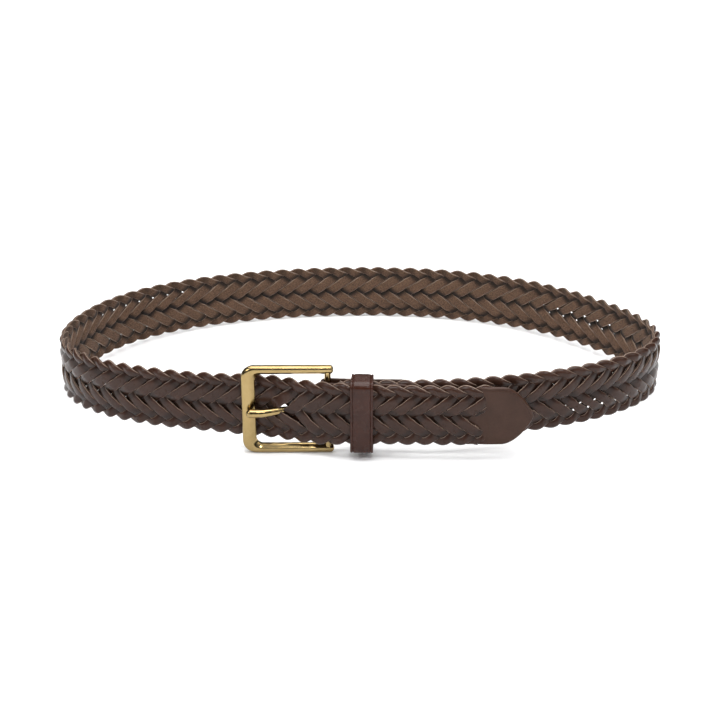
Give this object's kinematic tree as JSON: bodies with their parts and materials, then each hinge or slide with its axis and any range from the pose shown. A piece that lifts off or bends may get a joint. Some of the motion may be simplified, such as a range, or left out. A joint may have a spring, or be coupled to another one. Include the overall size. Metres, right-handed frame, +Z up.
{
  "type": "braided belt",
  "caption": "Braided leather belt, fastened and standing on its edge, with a brass frame buckle, a leather loop and a pointed smooth tab.",
  "frame": {"origin": "middle of the belt's base, at the lower edge of the buckle frame", "axes": "+Z up along the strap's width, -Y towards the buckle, +X towards the free end, along the loop's long way"},
  "size_m": [0.3734, 0.2208, 0.0548],
  "materials": {
    "braid_leather": "satin",
    "smooth_leather": "satin",
    "keeper_leather": "gloss",
    "brass": "satin"
  },
  "bodies": {
    "root": {"braided_strap": "braid_leather", "end_tab": "smooth_leather", "chape": "smooth_leather", "keeper_loop": "keeper_leather", "buckle_frame": "brass", "buckle_prong": "brass"}
  },
  "joints": []
}
